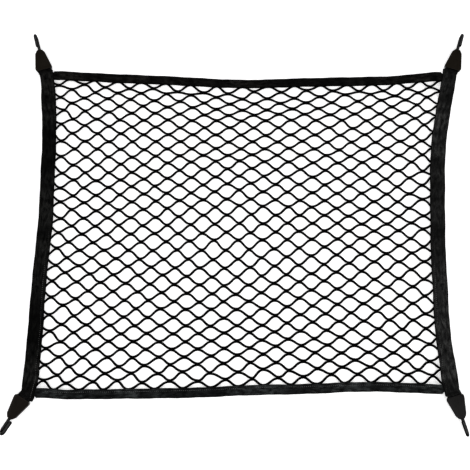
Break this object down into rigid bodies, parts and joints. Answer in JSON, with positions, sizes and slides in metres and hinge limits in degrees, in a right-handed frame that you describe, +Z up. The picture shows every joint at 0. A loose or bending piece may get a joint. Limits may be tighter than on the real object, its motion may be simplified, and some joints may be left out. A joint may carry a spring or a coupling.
{
  "type": "cargo net",
  "caption": "Elastic cargo net: a knitted mesh bound with webbing tapes, with a moulded end and a coated wire hook at each corner.",
  "frame": {"origin": "middle of the footprint, on the surface that the net lies on", "axes": "+X along the net from the left side tape to the right one, +Y across it towards the top tape, +Z up from the surface"},
  "size_m": [0.8072, 0.7126, 0.0217],
  "materials": {
    "elastic_cord": "matte knitted elastic yarn",
    "webbing": "matte woven tape",
    "moulded_plastic": "satin moulded plastic",
    "coated_wire": "glossy dip coating"
  },
  "bodies": {
    "root": {"net": "elastic_cord", "tape_left": "webbing", "tape_right": "webbing", "tape_top": "webbing", "tape_bottom": "webbing", "hook_end_top_left": "moulded_plastic", "hook_end_top_right": "moulded_plastic", "hook_end_bottom_left": "moulded_plastic", "hook_end_bottom_right": "moulded_plastic", "wire_hook_top_left": "coated_wire", "wire_hook_top_right": "coated_wire", "wire_hook_bottom_left": "coated_wire", "wire_hook_bottom_right": "coated_wire"}
  },
  "joints": []
}
